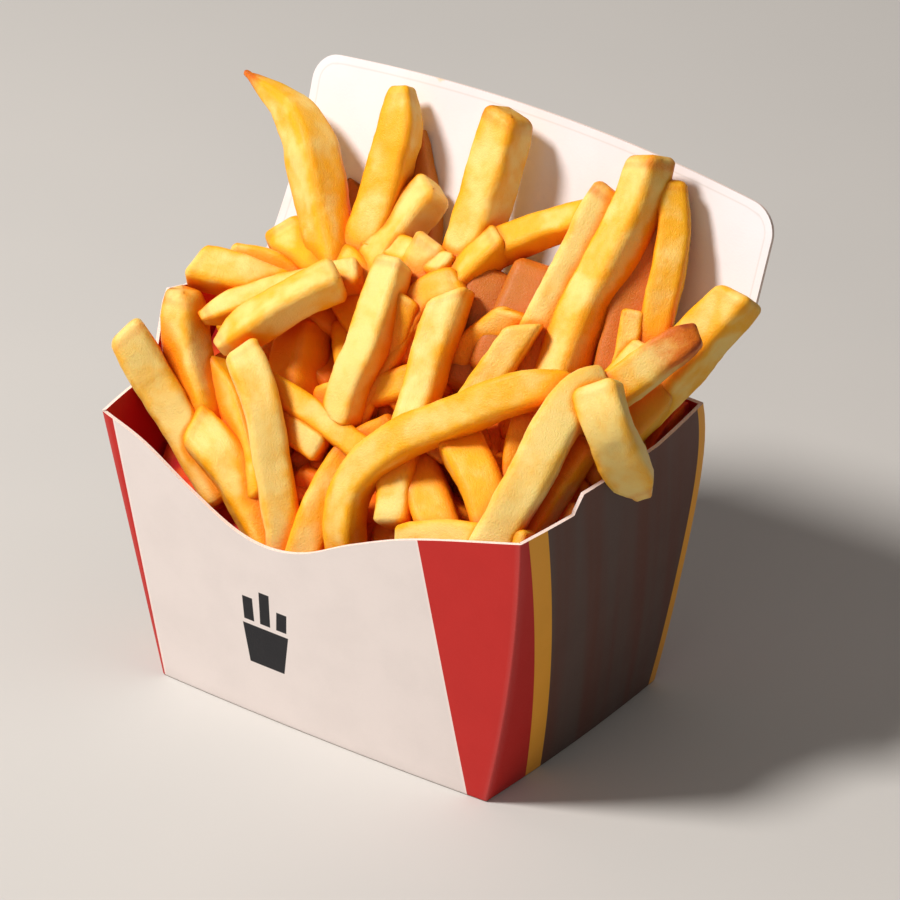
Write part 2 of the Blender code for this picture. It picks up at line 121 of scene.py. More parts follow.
# Colours.
CREAM = srgb(237, 226, 222)
# Used for the painted highlight along print edges, and for worn creases.
PALE_LINE = srgb(250, 232, 226)
RED = srgb(198, 39, 34)
INNER_RED = srgb(228, 32, 38)
AMBER = srgb(246, 172, 56)
TAUPE = srgb(98, 80, 74)
TAUPE_WARM = srgb(102, 66, 56)
INK = srgb(34, 34, 38)
CARD_WHITE = srgb(240, 236, 240)
GREASE = srgb(236, 206, 140)
CUT_EDGE = srgb(244, 226, 218)
CUT_SHADE = srgb(222, 190, 178)
GREYBOARD = srgb(214, 206, 196)
# Painted shade for the scored line along the panel's free edges.
SCORE_SHADE_GREY = srgb(214, 208, 206)
FRY_PALE = srgb(254, 219, 130)
FRY_GOLD = srgb(253, 180, 14)
FRY_DEEP = srgb(246, 138, 8)
# Painted shade: red-orange for the places most shut in between fries.
FRY_SHADE = srgb(222, 72, 14)
# Painted shade: dull brown-orange for fries that stand in shade.
FRY_PAINTED_SHADE = srgb(190, 102, 26)
FRY_BROWN = srgb(158, 62, 12)
FRY_TOAST = srgb(226, 116, 16)
CORE_ORANGE = srgb(228, 88, 24)
CORE_RED = srgb(196, 34, 38)
FLOOR_GREY = srgb(196, 194, 192)
FLOOR_PALE = srgb(204, 201, 198)


# Node helpers.

# The sockets of a Mix node that colours use.
COLOUR_MIX_INPUTS = (0, 6, 7)
COLOUR_MIX_OUTPUT = 2
# Half the width, in millimetres, over which one printed colour passes into the next.
PRINT_SOFT = 0.07


class Field:
    """A value in a node tree. Arithmetic on it adds Math nodes."""

    def __init__(self, paint, socket):
        self.paint = paint
        self.socket = socket

    def math(self, operation, *others):
        node = self.paint.node("Math")
        node.operation = operation
        for slot, value in zip(node.inputs, (self, *others)):
            self.paint.feed(slot, value)
        return Field(self.paint, node.outputs[0])

    def __add__(self, other):
        return self.math("ADD", other)

    def __sub__(self, other):
        return self.math("SUBTRACT", other)

    def __mul__(self, other):
        return self.math("MULTIPLY", other)

    def inverse(self):
        """What is left of one."""
        return self * -1.0 + 1.0

    def size(self):
        return self.math("ABSOLUTE")

    def power(self, exponent):
        return self.math("POWER", exponent)

    def ramp(self, low, high):
        """0 at low, 1 at high, smooth between and level beyond. Low may be the greater."""
        ends = {"From Min": min(low, high), "From Max": max(low, high)}
        levels = {"To Min": float(low > high), "To Max": float(low < high)}
        node = self.paint.node("MapRange", {"Value": self, **ends, **levels})
        node.interpolation_type = "SMOOTHSTEP"
        return Field(self.paint, node.outputs["Result"])

    def above(self):
        """1 where the value is over zero."""
        return self.ramp(-PRINT_SOFT, PRINT_SOFT)

    def within(self, half, soft=PRINT_SOFT):
        """1 where the value lies within half of zero."""
        return self.size().ramp(half + soft, half - soft)


class Paint:
    """A material while it is being made."""

    def __init__(self, name, roughness):
        self.material = bpy.data.materials.new(name)
        self.material.use_nodes = True
        self.tree = self.material.node_tree
        self.shader = self.tree.nodes["Principled BSDF"]
        self.set("Roughness", roughness)

    def feed(self, socket, value):
        """Link a field to a socket, or set the socket to a number or colour."""
        if isinstance(value, Field):
            self.tree.links.new(value.socket, socket)
        elif isinstance(value, (int, float)):
            socket.default_value = value
        else:
            socket.default_value = (*value, 1) if len(value) == 3 and socket.type == "RGBA" else value

    def set(self, socket, value):
        """Feed an input of the shader."""
        self.feed(self.shader.inputs[socket], value)

    def node(self, kind, inputs=()):
        """A new node, with a value for each input that is given."""
        node = self.tree.nodes.new("ShaderNode" + kind)
        for socket, value in dict(inputs).items():
            self.feed(node.inputs[socket], value)
        return node

    def place(self):
        """Object coordinates in millimetres: x, y and z, and all three as one vector."""
        coordinates = self.node("TexCoord").outputs["Object"]
        split = self.node("SeparateXYZ", {0: Field(self, coordinates)})
        fields = [Field(self, output) * (1 / MM) for output in split.outputs]
        return *fields, self.vector(*fields)

    def attribute(self, name, output="Fac"):
        node = self.node("Attribute")
        node.attribute_name = name
        return Field(self, node.outputs[output])

    def vector(self, *fields):
        return Field(self, self.node("CombineXYZ", enumerate(fields)).outputs[0])

    def noise(self, where, scale, detail=2.0, roughness=0.5):
        settings = {"Vector": where, "Scale": scale, "Detail": detail, "Roughness": roughness}
        return Field(self, self.node("TexNoise", settings).outputs["Fac"])

    def mix(self, share, first, second):
        """From the first colour at 0 to the second at 1."""
        node = self.node("Mix")
        node.data_type = "RGBA"
        for socket, value in zip(COLOUR_MIX_INPUTS, (share, first, second)):
            self.feed(node.inputs[socket], value)
        return Field(self, node.outputs[COLOUR_MIX_OUTPUT])

    def bump(self, height, distance):
        """Relief of this field, in metres from low to high."""
        node = self.node("Bump", {"Height": height, "Distance": distance})
        self.set("Normal", Field(self, node.outputs[0]))


def beyond(across, height, top, foot):
    """Signed distance past a slanted print line, given its places (across, height) at top and foot."""
    slope = (top[0] - foot[0]) / (top[1] - foot[1])
    return across - (height * slope + (foot[0] - slope * foot[1]))


# Card finishes.

RED_LINE_TOP, RED_LINE_FOOT = (30.4, 61.6), (41.0, -0.5)
LEFT_STRIPE_TOP, LEFT_STRIPE_FOOT = (-55.8, 66.2), (-45.2, 0.0)
AMBER_FRONT_TOP, AMBER_FRONT_FOOT = (-32.9, 70.0), (-18.6, 0.0)
AMBER_BACK_TOP, AMBER_BACK_FOOT = (-26.6, 70.0), (-13.2, 0.0)
AMBER_EDGE = 3.0
PALE_LINE_HALF = 0.26
MARK_MIDDLE = (-14.0, 23.6)
CARD_SHEEN = 0.22
CARD_WEAR, SIDE_WEAR = 0.08, 0.05


def finish_card(paint, colour, where, wear=CARD_WEAR):
    """Common finish of printed card: faint mottling, worn creases, fibre relief and uneven gloss."""
    paint.set("Specular IOR Level", CARD_SHEEN)
    cloud = paint.noise(where, 0.09, 3.0)
    fibre = paint.noise(where, 1.9, 3.0, 0.6)
    worn = paint.attribute("crease") * (fibre.ramp(0.5, 0.8) * 0.5 + 0.5)
    colour = paint.mix(worn * wear, colour, PALE_LINE)
    darker = paint.mix(0.06, colour, (0.0, 0.0, 0.0))
    mottled = cloud.ramp(0.35, 0.7) * 0.6 + fibre.ramp(0.5, 0.8) * 0.3
    paint.set("Base Color", paint.mix(mottled, colour, darker))
    paint.set("Roughness", fibre * 0.12 + cloud * 0.10 + 0.36)
    paint.bump(fibre + cloud * 2.0, 0.00003)


def add_mark(paint, colour, x, z):
    """A plain pictogram: three upright bars of uneven height in a tapered cup."""
    across = x - MARK_MIDDLE[0]
    height = z - MARK_MIDDLE[1]
    cup_side = across.size() + (height + 9.5) * -0.16
    cup = (cup_side - 4.9).above().inverse()
    cup = cup * height.ramp(-9.57, -9.43) * height.ramp(0.57, 0.43)
    ink = cup
    for middle, top, lean in ((-4.5, 7.6, -0.05), (0.0, 10.0, 0.0), (4.5, 6.4, 0.06)):
        bar = (across - middle - height * lean).within(1.45)
        bar = bar * height.ramp(1.53, 1.67) * height.ramp(top + 0.07, top - 0.07)
        ink = ink.math("MAXIMUM", bar)
    return paint.mix(ink, colour, INK)


def front_print():
    paint = Paint("front_print", 0.45)
    x, _, z, where = paint.place()
    wedge = beyond(x, z, RED_LINE_TOP, RED_LINE_FOOT)
    stripe = beyond(x, z, LEFT_STRIPE_TOP, LEFT_STRIPE_FOOT)
    colour = paint.mix(wedge.above(), CREAM, RED)
    # Painted highlight: a thin pale line along the cream side of each print edge, as light caught on a
    # raised edge.
    colour = paint.mix((wedge + PALE_LINE_HALF).within(PALE_LINE_HALF), colour, PALE_LINE)
    colour = paint.mix(stripe.above().inverse(), colour, RED)
    colour = paint.mix((stripe - PALE_LINE_HALF).within(PALE_LINE_HALF), colour, PALE_LINE)
    finish_card(paint, add_mark(paint, colour, x, z), where)
    return paint.material


def side_print(name):
    """Right and left walls: a red lens, an amber stripe, a satin taupe field with painted streaks of
    soft reflection, and an amber back edge.
    """
    paint = Paint(name, 0.4)
    _, y, z, where = paint.place()
    slanted = y + z * 0.16
    # Painted reflection: soft slanted streaks of a warmer taupe, as soft reflections on the satin field.
    painted_reflection_streak = paint.noise(paint.vector(0.0, slanted, z * 0.05), 0.11)
    colour = paint.mix(painted_reflection_streak.ramp(0.36, 0.64), TAUPE_WARM, TAUPE)
    stripe_back = beyond(y, z, AMBER_BACK_TOP, AMBER_BACK_FOOT)
    stripe_front = beyond(y, z, AMBER_FRONT_TOP, AMBER_FRONT_FOOT)
    colour = paint.mix(stripe_back.above().inverse(), colour, AMBER)
    colour = paint.mix(stripe_front.above().inverse(), colour, RED)
    rise = z * (1 / BACK_RIGHT_TOP.z)
    bow = rise.power(BACK_BOW_POWER) * rise.inverse() * (BACK_BOW_SCALE * BACK_CREASE_BOW)
    lean = (BACK_RIGHT_TOP.y - BASE_HALF_DEPTH) / BACK_RIGHT_TOP.z
    if name == "left_print":
        bow = 0.0
        lean = (BACK_LEFT_TOP.y - BASE_HALF_DEPTH) / BACK_LEFT_TOP.z
    to_back = z * lean + bow + BASE_HALF_DEPTH - y
    colour = paint.mix((to_back - AMBER_EDGE).above().inverse(), colour, AMBER)
    finish_card(paint, colour, where, SIDE_WEAR)
    return paint.material


def back_print(name):
    """Outside of the back wall and of the panel: cream between two red bands that narrow downwards."""
    paint = Paint(name, 0.45)
    x, _, z, where = paint.place()
    band = x.size() - z * 0.11 - 34.0
    colour = paint.mix(band.above(), CREAM, RED)
    # Painted highlight: a thin pale line along the cream side of each band edge.
    colour = paint.mix((band + PALE_LINE_HALF).within(PALE_LINE_HALF), colour, PALE_LINE)
    finish_card(paint, colour, where)
    return paint.material


def plain_card(name, colour, second):
    """One field of colour with a second tone clouded into it."""
    paint = Paint(name, 0.5)
    *_, where = paint.place()
    cloud = paint.noise(where, 0.05, 4.0)
    finish_card(paint, paint.mix(cloud.ramp(0.35, 0.7), colour, second), where)
    return paint.material


GREASE_SPOTS = [(-26.5, 126.0, 2.0), (-23.2, 126.4, 1.3), (24.0, 96.0, 4.0)]


def panel_face():
    """Inside of the tall panel: white card with a few grease spots, warm patches low down, and a painted
    shade line along its free edges.
    """
    paint = Paint("panel_face", 0.42)
    x, _, z, where = paint.place()
    ragged = paint.noise(where, 0.6, 3.0) * 2.4
    # Warmer patches low down, near the fries.
    low = z.ramp(104.0, 78.0) * paint.noise(where, 0.12, 3.0).ramp(0.4, 0.8)
    colour = paint.mix(low * 0.35, CARD_WHITE, GREASE)
    for at_x, at_z, reach in GREASE_SPOTS:
        far = ((x - at_x).power(2.0) + (z - at_z).power(2.0)).power(0.5) + ragged
        colour = paint.mix(far.ramp(reach + 1.2, reach + 0.2) * 0.55, colour, GREASE)
    # Painted shade: a faint grey line along the panel's free edges, for the shade in a scored line; the
    # panel is not pressed in there.
    painted_score_shade = (paint.attribute("border") - SCORE_INSET).within(0.18, 0.16)
    colour = paint.mix(painted_score_shade * 0.5, colour, SCORE_SHADE_GREY)
    finish_card(paint, colour, where, 0.0)
    return paint.material


def cut_edge():
    """Raw cut edge of the board: pale fibres in layers."""
    paint = Paint("cut_edge", 0.8)
    *_, where = paint.place()
    layers = paint.noise(where, 3.2, 3.0, 0.7)
    paint.set("Base Color", paint.mix(layers.ramp(0.4, 0.75), CUT_EDGE, CUT_SHADE))
    paint.bump(layers, 0.00006)
    return paint.material


# Board geometry.

def limited(share):
    return min(max(share, 0), 1)


def line_height(points, place):
    """Height of a line of straight stretches."""
    for (x0, z0), (x1, z1) in zip(points, points[1:]):
        if place <= x1:
            return z0 + (z1 - z0) * max(0.0, place - x0) / (x1 - x0)
    return points[-1][1]


def smooth_height(points, place):
    """Height of a smooth curve through the points."""
    place = min(max(place, points[0][0]), points[-1][0])
    last = len(points) - 1
    slopes = []
    for i in range(last + 1):
        before, after = points[max(i - 1, 0)], points[min(i + 1, last)]
        slopes.append((after[1] - before[1]) / (after[0] - before[0]))
    for i in range(last):
        (x0, z0), (x1, z1) = points[i], points[i + 1]
        if place <= x1:
            break
    span = x1 - x0
    t = (place - x0) / span
    return (
        (2 * t**3 - 3 * t**2 + 1) * z0
        + (t**3 - 2 * t**2 + t) * span * slopes[i]
        + (3 * t**2 - 2 * t**3) * z1
        + (t**3 - t**2) * span * slopes[i + 1]
    )


def corner(top, z, bow=0.0, back_bow=0.0):
    """Point of a corner crease at height z."""
    foot = Vector((math.copysign(BASE_HALF_WIDTH, top.x), math.copysign(BASE_HALF_DEPTH, top.y), 0))
    rise = z / top.z
    point = foot.lerp(top, rise)
    point.x += math.copysign(4 * bow * rise * (1 - rise), top.x)
    point.y += BACK_BOW_SCALE * back_bow * rise**BACK_BOW_POWER * (1 - rise)
    point.z = z
    return point


def front_right(z):
    return corner(FRONT_RIGHT_TOP, z, RIGHT_CREASE_BOW)


def back_right(z):
    return corner(BACK_RIGHT_TOP, z, RIGHT_CREASE_BOW, BACK_CREASE_BOW)


def back_left(z):
    return corner(BACK_LEFT_TOP, z)


def front_left(z):
    return corner(FRONT_LEFT_TOP, z)


def belly(u, rise, foot_bow, top_bow):
    """How far a wall bows out between its creases, at a share of its width and of its height."""
    return 4 * u * (1 - u) * (foot_bow + (top_bow - foot_bow) * rise)


def front_point(u, z):
    point = front_left(z).lerp(front_right(z), u)
    point.y -= belly(u, z / FRONT_LEFT_TOP.z, BASE_EDGE_BOW, FRONT_BOW)
    return point


def right_point(u, z):
    point = front_right(z).lerp(back_right(z), u)
    point.x += belly(u, z / BACK_RIGHT_TOP.z, BASE_EDGE_BOW, SIDE_BOW)
    return point


def back_point(u, z):
    point = back_right(z).lerp(back_left(z), u)
    point.y += belly(u, z / BACK_LEFT_TOP.z, 0.0, BACK_BOW)
    return point


def left_point(u, z):
    point = back_left(z).lerp(front_left(z), u)
    point.x -= belly(u, z / BACK_LEFT_TOP.z, BASE_EDGE_BOW, LEFT_SIDE_BOW)
    return point


def front_rim(u):
    return smooth_height(FRONT_RIM, FRONT_LEFT_TOP.x + u * (FRONT_RIGHT_TOP.x - FRONT_LEFT_TOP.x))


def right_rim(u):
    return line_height(RIGHT_RIM, FRONT_RIGHT_TOP.y + u * (BACK_RIGHT_TOP.y - FRONT_RIGHT_TOP.y))


def back_rim(u):
    return BACK_RIGHT_TOP.z + u * (BACK_LEFT_TOP.z - BACK_RIGHT_TOP.z)


def left_rim(u):
    return line_height(LEFT_RIM, BACK_LEFT_TOP.y + u * (FRONT_LEFT_TOP.y - BACK_LEFT_TOP.y))


def back_share(x):
    """How far along the top of the back wall a place is, from its right end to its left."""
    return (BACK_RIGHT_TOP.x - x) / (BACK_RIGHT_TOP.x - BACK_LEFT_TOP.x)


def panel_edges(up):
    """Where the panel's right and left edges lie across it."""
    sweep = max(0.0, 1 - up / PANEL_SWEEP_END) ** PANEL_SWEEP_CURVE
    right = PANEL_TOP_RIGHT.x - PANEL_RIGHT_SWEEP * sweep
    left = BACK_LEFT_TOP.x + PANEL_LEFT_SHOULDER
    return right, left + (PANEL_TOP_LEFT.x - left) * up + PANEL_LEFT_WAIST * 4 * up * (1 - up)


def panel_point(x, up):
    """Point of the tall panel at a place across it, from the fold at 0 to the top edge at 1."""
    along = back_share(x)
    low = back_point(along, back_rim(along))
    across = (PANEL_TOP_RIGHT.x - x) / (PANEL_TOP_RIGHT.x - PANEL_TOP_LEFT.x)
    high = PANEL_TOP_RIGHT.lerp(PANEL_TOP_LEFT, across)
    high.x = x
    point = low.lerp(high, up)
    middle = 4 * across * (1 - across)
    point += (high - low).normalized() * PANEL_ARCH * middle * up
    point.y += PANEL_BOW * middle * up * (1 - up) * 4
    return point


def panel_rows():
    """Rows up the panel as (up, inset at each side): straight sides, then a round corner."""
    height = (PANEL_TOP_LEFT - BACK_LEFT_TOP).length
    straight = height - PANEL_CORNER
    rows = [(straight * row / PANEL_ROWS / height, 0.0) for row in range(PANEL_ROWS + 1)]
    for row in range(1, CORNER_ROWS + 1):
        angle = math.pi / 2 * row / CORNER_ROWS
        up = (straight + PANEL_CORNER * math.sin(angle)) / height
        rows.append((up, PANEL_CORNER * (1 - math.cos(angle))))
    return rows


# Modelling helpers.

def select_only(*objects):
    """Select these objects, the first one active."""
    bpy.ops.object.select_all(action="DESELECT")
    for obj in objects:
        obj.select_set(True)
    bpy.context.view_layer.objects.active = objects[0]


def edit_all():
    """Enter edit mode, with everything selected."""
    bpy.ops.object.mode_set(mode="EDIT")
    bpy.ops.mesh.select_mode(type="EDGE")
    bpy.ops.mesh.select_all(action="SELECT")


def leave_edit():
    bpy.ops.object.mode_set(mode="OBJECT")


def face_outward():
    """In edit mode, turn every face outward; then leave."""
    bpy.ops.mesh.select_all(action="SELECT")
    bpy.ops.mesh.normals_make_consistent(inside=False)
    leave_edit()


def pick(obj, kind, test):
    """In edit mode, select only the edges or faces that pass the test."""
    bpy.ops.mesh.select_all(action="DESELECT")
    leave_edit()
    for item in getattr(obj.data, kind):
        item.select = test(item)
    bpy.ops.object.mode_set(mode="EDIT")


def edge_ends(obj, edge):
    return [obj.data.vertices[index].co for index in edge.vertices]


def apply_modifier(obj, name, kind, **settings):
    """Add one modifier and apply it."""
    select_only(obj)
    modifier = obj.modifiers.new(name, kind)
    for key, value in settings.items():
        setattr(modifier, key, value)
    bpy.ops.object.modifier_apply(modifier=name)


def join(objects, name):
    """Make one object of them all."""
    select_only(*objects)
    bpy.ops.object.join()
    objects[0].name = objects[0].data.name = name
    return objects[0]


def store(obj, name, values):
    """Keep one number for each vertex in an attribute of the mesh."""
    layer = obj.data.attributes.new(name, "FLOAT", "POINT")
    layer.data.foreach_set("value", np.asarray(values, dtype=np.float32))


def finish_piece(obj, nodes, smooth_angle=35):
    """Shade a piece smooth, and tie it to the frame."""
    select_only(obj)
    bpy.ops.object.shade_smooth_by_angle(angle=math.radians(smooth_angle))
    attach(obj, "root")
    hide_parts(*nodes)


# Carton.

WALL_FRONT, WALL_RIGHT, WALL_BACK, WALL_LEFT, BASE, PANEL = WALL_SLOTS = range(6)
CUT_SLOT = 2 * len(WALL_SLOTS)


def wall_grid(name, point, places, rows, slot, finishes):
    """A grid stood up as one wall: its columns go to their places, its rows up to the rim."""
    bpy.ops.mesh.primitive_grid_add(x_subdivisions=len(places) - 1, y_subdivisions=rows, size=2)
    wall = bpy.context.active_object
    wall.name = name
    for vert in wall.data.vertices:
        column = round((vert.co.x + 1) / 2 * (len(places) - 1))
        row = round((vert.co.y + 1) / 2 * rows)
        vert.co = point(places[column], row, rows) * MM
    for material in finishes:
        wall.data.materials.append(material)
    for face in wall.data.polygons:
        face.material_index = slot
    return wall


def even_places(count, marks=()):
    """Even shares from 0 to 1, and the marks between them."""
    return sorted({round(place, 4) for place in [i / count for i in range(count + 1)] + list(marks)})


def side_places(rim, start, end):
    """Columns of a side wall: even ones, and one wherever its rim turns."""
    return even_places(SIDE_COLUMNS, [(place - start.y) / (end.y - start.y) for place, _ in rim[1:-1]])


def panel_columns():
    """Shares across the panel, with three columns at each side for the scored line."""
    right, left = panel_edges(0)
    insets = (SCORE_INSET - SCORE_COLUMNS, SCORE_INSET, SCORE_INSET + SCORE_COLUMNS)
    borders = [inset / (right - left) for inset in insets]
    return even_places(PANEL_COLUMNS, borders + [1 - border for border in borders])


def card_finishes():
    """One finish for each wall, the same number for their inner faces, and the cut edge."""
    outside = [
        front_print(), side_print("right_print"), back_print("back_print"), side_print("left_print"),
        plain_card("base_outside", GREYBOARD, CREAM), back_print("panel_back"),
    ]
    red_faces = ("front", "right", "back", "left", "base")
    inside = [plain_card("inside_" + face, INNER_RED, RED) for face in red_faces]
    return outside + inside + [panel_face(), cut_edge()]


def build_carton():
    """The folded board: five sheets and a base, merged, creased and thickened inwards."""
    shares = panel_columns()
    start, end = [back_share(edge) for edge in panel_edges(0)]
    back_places = [0.0] + [start + (end - start) * share for share in shares] + [1.0]
    right_places = side_places(RIGHT_RIM, FRONT_RIGHT_TOP, BACK_RIGHT_TOP)
    left_places = side_places(LEFT_RIM, BACK_LEFT_TOP, FRONT_LEFT_TOP)
    rows = panel_rows()

    def standing(point, rim):
        return lambda u, row, rows: point(u, rim(u) * row / rows)

    def leaning(share, row, _):
        up, inset = rows[row]
        right, left = panel_edges(up)
        right -= inset
        left += inset
        return panel_point(right + (left - right) * share, up)

    outlines = [
        ("front", standing(front_point, front_rim), even_places(FRONT_COLUMNS), WALL_ROWS, WALL_FRONT),
        ("right", standing(right_point, right_rim), right_places, WALL_ROWS, WALL_RIGHT),
        ("back", standing(back_point, back_rim), back_places, WALL_ROWS, WALL_BACK),
        ("left", standing(left_point, left_rim), left_places, WALL_ROWS, WALL_LEFT),
        ("panel", leaning, shares, len(rows) - 1, PANEL),
    ]
    finishes = card_finishes()
    walls = [wall_grid(*outline, finishes) for outline in outlines]
    store(walls[-1], "border", [border_gap(vert.co / MM) for vert in walls[-1].data.vertices])
    carton = join(walls, "carton_board")
    edit_all()
    bpy.ops.mesh.remove_doubles(threshold=MERGE_REACH * MM)
    pick(carton, "edges", lambda e: all(co.z < MERGE_REACH * MM for co in edge_ends(carton, e)))
    bpy.ops.mesh.edge_face_add()
    leave_edit()
    base = max(carton.data.polygons, key=lambda face: len(face.vertices))
    base.material_index = BASE
    edit_all()
    face_outward()
    base = max(carton.data.polygons, key=lambda face: len(face.vertices))
    if base.normal.z > 0:
        edit_all()
        bpy.ops.mesh.flip_normals()
        leave_edit()
    sides = {}
    for face in carton.data.polygons:
        for key in face.edge_keys:
            sides.setdefault(key, set()).add(face.material_index)
    edit_all()
    pick(carton, "edges", lambda e: len(sides[tuple(sorted(e.vertices))]) > 1)
    bpy.ops.mesh.bevel(
        offset=CREASE_RADIUS * MM, segments=CREASE_SEGMENTS, affect="EDGES", clamp_overlap=True
    )
    bpy.ops.mesh.select_all(action="SELECT")
    bpy.ops.mesh.remove_doubles(threshold=MERGE_REACH * MM)
    leave_edit()
    apply_modifier(
        carton, "Thickness", "SOLIDIFY", thickness=BOARD * MM, offset=-1.0,
        material_offset=len(WALL_SLOTS), material_offset_rim=CUT_SLOT,
    )
    store(carton, "crease", [crease_share(vert.co / MM) for vert in carton.data.vertices])
    finish_piece(carton, ["carton"])


def border_gap(place):
    """Distance in millimetres from the panel's nearest free edge, taken along the panel."""
    fold = back_rim(back_share(place.x))
    top = panel_point(place.x, 1.0)
    right, left = panel_edges(limited((place.z - fold) / (top.z - fold)))
    round_x = PANEL_CORNER - min(right - place.x, place.x - left, PANEL_CORNER)
    round_z = PANEL_CORNER - min((top - place).length, PANEL_CORNER)
    return PANEL_CORNER - math.hypot(round_x, round_z)


def crease_share(place):
    """1 on a crease of the board, falling to 0 a millimetre away."""
    z = min(max(place.z, 0.0), CREASE_TOP)
    near = min((crease(z) - place).length for crease in (front_right, back_right, back_left, front_left))
    return max(0.0, 1 - max(0.0, near - WORN_HALF) / WORN_FADE)
